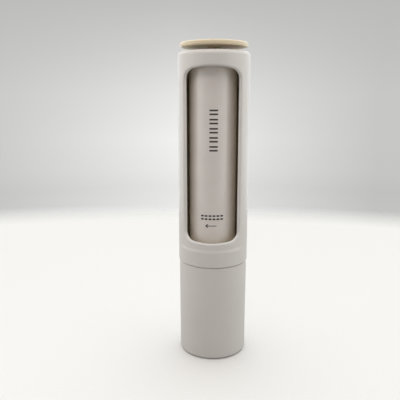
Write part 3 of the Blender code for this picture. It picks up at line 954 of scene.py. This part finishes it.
def outer_sheet():
    """One turn and a little more of thin sheet, its loose edge lapped over its start.

    The sheet is slack, so it stands off the sheets below on one side.
    """
    length = 1.04
    curl = 0.025
    spiral = 0.2 * MM
    columns = 300
    turns = np.linspace(0.0, length, columns)
    angles = LOOSE_EDGE - (length - turns) * math.tau
    outer = SHEET_RADIUS - spiral * (length - turns)
    outer = outer + SHEET_THICKNESS * np.clip((turns - length + curl) / curl, 0, 1) ** 2
    inner = outer - SHEET_THICKNESS
    out = np.stack([np.sin(angles), -np.cos(angles), 0 * angles], axis=-1)
    up = np.array([0.0, 0.0, 1.0])
    along = np.stack([np.cos(angles), np.sin(angles), 0 * angles], axis=-1)
    top = TAPE_HIGH_Z * up + SHEET_SLACK
    foot = TAPE_LOW_Z * up + SHEET_SLACK
    outer_high = outer[:, None] * out + top
    outer_low = outer[:, None] * out + foot
    inner_high = inner[:, None] * out + top
    inner_low = inner[:, None] * out + foot
    skin = Skin()
    skin.grid([outer_high, outer_low], [out, out])
    skin.grid([inner_high, inner_low], [-out, -out])
    skin.grid([inner_high, outer_high], up)
    skin.grid([inner_low, outer_low], -up)
    for end, sign in ((0, -1), (-1, 1)):
        wall = [[inner_high[end], outer_high[end]], [inner_low[end], outer_low[end]]]
        skin.grid(wall, sign * along[end])
    place(skin.build("cover_sheet", SHEET), "roll", "printed_paper", "outer_sheet")


def stroke(skin, start, end, half_width):
    """A round-ended line on the roll, from and to (along, up) points measured over its surface."""
    rise = -0.06 * MM
    root = -0.16 * MM
    spacing = 0.5 * MM
    end_steps = 6
    lanes = 5
    start = np.array(start)
    end = np.array(end)
    length = np.linalg.norm(end - start)
    way = (end - start) / length
    side = np.array([-way[1], way[0]])
    cap = np.sin(np.linspace(0, math.pi / 2, end_steps + 1))
    body = np.linspace(0, length, max(2, math.ceil(length / spacing) + 1))
    places = np.concatenate([-half_width * cap[::-1][:-1], body, length + half_width * cap[1:]])
    beyond = np.maximum(np.maximum(-places, places - length), 0)
    widths = np.sqrt(np.maximum(half_width**2 - beyond**2, 0))
    across = np.linspace(-1, 1, lanes)
    spots = start + places[:, None, None] * way + (across[None, :] * widths[:, None])[..., None] * side
    angles = spots[..., 0] / SHEET_RADIUS
    out = np.stack([np.sin(angles), -np.cos(angles), 0 * angles], axis=-1)
    heights = spots[..., 1:] * np.array([0, 0, 1]) + SHEET_SLACK
    top = (SHEET_RADIUS + rise) * out + heights
    under = (SHEET_RADIUS + root) * out + heights
    skin.grid(top, out)
    skin.grid(under, -out)
    for row, sign in ((0, -1), (-1, 1)):
        edge = angles[:, row]
        along = np.stack([np.cos(edge), np.sin(edge), 0 * edge], axis=-1)
        facing = sign * (side[0] * along + side[1] * np.array([0, 0, 1]))
        skin.grid([top[:, row], under[:, row]], [facing, facing])


def print_marks():
    """Generic print: a column of paired bars, two rows of dashes and a peel arrow."""
    skin = Skin()
    bar_middle = 1.3 * MM
    bar_half = 2.0 * MM
    bar_weight = 0.45 * MM
    bar_top = 146.0 * MM
    bar_gap = 2.1 * MM
    pair_pitch = 5.0 * MM
    for i in range(5):
        for z in (bar_top - i * pair_pitch, bar_top - i * pair_pitch - bar_gap):
            stroke(skin, (bar_middle - bar_half, z), (bar_middle + bar_half, z), bar_weight)
    dashes = 6
    dashes_middle = 0.6 * MM
    dash_pitch = 2.3 * MM
    dash_half = 0.4 * MM
    dash_weight = 0.5 * MM
    for z in (84.5 * MM, 86.4 * MM):
        for i in range(dashes):
            x = dashes_middle + (i - (dashes - 1) / 2) * dash_pitch
            stroke(skin, (x - dash_half, z), (x + dash_half, z), dash_weight)
    arrow_z = 80.5 * MM
    arrow_half = 3.0 * MM
    barb_x = -1.9 * MM
    barb_rise = 0.9 * MM
    stroke(skin, (-arrow_half, arrow_z), (arrow_half, arrow_z), 0.2 * MM)
    for way in (-1, 1):
        stroke(skin, (-arrow_half, arrow_z), (barb_x, arrow_z + way * barb_rise), 0.25 * MM)
    place(skin.build("print_marks", INK), "roll", "printed_paper")


# Stage, light and camera ----------------------------------------------------------------------------


def floor():
    """A pale oval under the object that fades out all round."""
    solid = (0.60, 0.32)
    fade = 0.09
    spokes = 96
    rings = 12
    dark_fleck = (0.80, 0.80, 0.792)
    light_fleck = (0.82, 0.82, 0.812)
    # The floor gives back less light than it shows, so that it doesn't light the object's lower half
    # more than its upper half.
    given_back = (0.33, 0.32, 0.31)
    reach_x = solid[0] + fade
    reach_y = solid[1] + fade
    skin = Skin()
    angles = np.arange(spokes) * math.tau / spokes
    edge = np.stack([reach_x * np.sin(angles), reach_y * np.cos(angles), 0 * angles], axis=-1)
    skin.grid(np.linspace(0, 1, rings)[:, None, None] * edge, [0, 0, 1], True)
    material, tree, shader = new_material("floor_paper")
    spot = object_coordinates(tree)
    scaled = vector_maths(tree, "MULTIPLY", 0, {0: spot, 1: (1 / reach_x, 1 / reach_y, 0.0)})
    distance = vector_maths(tree, "LENGTH", "Value", {0: scaled})
    speck = noise(tree, spot, 600.0, 3.0)
    tone = blend_colour(tree, spread(tree, speck, 0.0, 1.0), dark_fleck, light_fleck)
    seen = add(tree, "ShaderNodeLightPath").outputs["Is Camera Ray"]
    tree.links.new(blend_colour(tree, seen, given_back, tone), shader.inputs["Base Color"])
    shader.inputs["Roughness"].default_value = 0.7
    oval = spread(tree, distance, 1.0, 0.0, solid[1] / reach_y, 1.0)
    tree.links.new(oval, shader.inputs["Alpha"])
    obj = skin.build("floor", material)


# Light from the surround, as wide lobes: where from, how narrow, and the colour. The lobe below zero
# takes light away straight behind, so that the back isn't burnt out.
LOBES = [
    ((0, 1, 0), 1.4, (1.78, 1.73, 1.57)),
    ((0, 1, 0), 4, (0.10, 0.22, 0.48)),
    ((0, 1, 0), 16, (-1.15, -1.15, -1.15)),
    ((-0.92, -0.39, 0), 16, (1.30, 1.28, 1.26)),
    ((0.92, -0.39, 0), 16, (1.38, 1.36, 1.34)),
    ((0, -0.14, 0.99), 24, (2.05, 2.02, 2.00)),
]
KEY_POWER = 0.262
KEY_COLOUR = (1.0, 0.83, 0.78)
KEY_SIZE = (0.32, 0.075)

# What the camera sees behind the object, at the middle and off to the sides. The heights are shares of
# the way from SHOWN_RISE below the horizon to as far above it.
SHOWN_HEIGHTS = (0.0, 0.15, 0.22, 0.34, 0.52, 0.69, 0.85, 1.0)
SHOWN_MIDDLE = (0.84, 0.80, 0.85, 0.89, 0.79, 0.65, 0.54, 0.47)
SHOWN_SIDES = (0.56, 0.53, 0.56, 0.57, 0.57, 0.53, 0.50, 0.47)
SHOWN_RISE = 0.25
SHOWN_SHIFT = 0.12
SHOWN_WIDTH = 0.38
SHOWN_BLUE = 0.985


def grey_ramp(tree, factor, values):
    node = add(tree, "ShaderNodeValToRGB", {"Fac": factor})
    for position in SHOWN_HEIGHTS[1:-1]:
        node.color_ramp.elements.new(position)
    for element, position, value in zip(node.color_ramp.elements, SHOWN_HEIGHTS, values):
        element.position = position
        element.color = (value, value, value * SHOWN_BLUE, 1.0)
    return node.outputs["Color"]


def studio():
    """A pale surround that is dim on the viewer's side, as in a light tent."""
    world = bpy.data.worlds.new("studio")
    bpy.context.scene.world = world
    world.use_nodes = True
    tree = world.node_tree
    background = tree.nodes["Background"]
    way = add(tree, "ShaderNodeTexCoord").outputs["Generated"]
    parts = split(tree, way)
    height = spread(tree, parts["Z"], 0.0, 1.0, -SHOWN_RISE, SHOWN_RISE)
    aside = maths(tree, "ABSOLUTE", maths(tree, "ADD", parts["X"], SHOWN_SHIFT))
    middle = grey_ramp(tree, height, SHOWN_MIDDLE)
    sides = grey_ramp(tree, height, SHOWN_SIDES)
    shown = blend_colour(tree, spread(tree, aside, 0.0, 1.0, 0.0, SHOWN_WIDTH), middle, sides)
    lit = None
    for source, power, colour in LOBES:
        along = vector_maths(tree, "DOT_PRODUCT", "Value", {0: way, 1: source})
        share = maths(tree, "POWER", spread(tree, along, 0.0, 1.0, -1.0, 1.0), power)
        lit = add_colour(tree, lit, share, colour)
    seen = add(tree, "ShaderNodeLightPath").outputs["Is Camera Ray"]
    tree.links.new(blend_colour(tree, seen, lit, shown), background.inputs["Color"])


def add_colour(tree, total, share, colour):
    """Adds colour times share to total."""
    scaled = vector_maths(tree, "SCALE", 0, {0: colour, "Scale": share})
    if total is None:
        return scaled
    return vector_maths(tree, "ADD", 0, {0: total, 1: scaled})


def lights():
    """A low wide key in front, which the sleeve's top edge shades the roll from."""
    distance = 0.4
    rise = math.radians(40)
    turn = math.radians(-14)
    target = Vector((0.0, 0.0, 0.15))
    way = Vector((math.cos(rise) * math.sin(turn), -math.cos(rise) * math.cos(turn), math.sin(rise)))
    data = bpy.data.lights.new("key", "AREA")
    data.shape = "RECTANGLE"
    data.size, data.size_y = KEY_SIZE
    data.energy = KEY_POWER
    data.color = KEY_COLOUR
    obj = bpy.data.objects.new("key", data)
    obj.location = target + distance * way
    obj.rotation_euler = (-way).to_track_quat("-Z", "Y").to_euler()
    bpy.context.scene.collection.objects.link(obj)


def camera():
    """Set at the viewing angle: 11.7 degrees down, from 285 mm away at a height of 152 mm."""
    distance = 0.2850
    height = 0.1521
    swing = math.radians(3.2)
    down = math.radians(11.71)
    aside = math.radians(1.59)
    data = bpy.data.cameras.new("camera")
    data.sensor_width = 36.0
    data.lens = 43.82
    data.clip_start = 0.01
    obj = bpy.data.objects.new("camera", data)
    obj.location = (distance * math.sin(swing), -distance * math.cos(swing), height)
    obj.rotation_euler = Euler((math.pi / 2 - down, 0.0, swing + aside), "XYZ")
    bpy.context.scene.collection.objects.link(obj)
    bpy.context.scene.camera = obj


window_sleeve()
guide_liner()
handle()
base_cap()
collar()
mouth()
pull_disc()
disc_stem()
piston()
spindle()
washers()
hubs()
core_and_sheets()
outer_sheet()
print_marks()
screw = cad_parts["piston_screw"]
screw.data.materials.clear()
screw.data.materials.append(STEEL)
floor()
studio()
lights()
camera()
bpy.context.scene.view_settings.view_transform = "Standard"
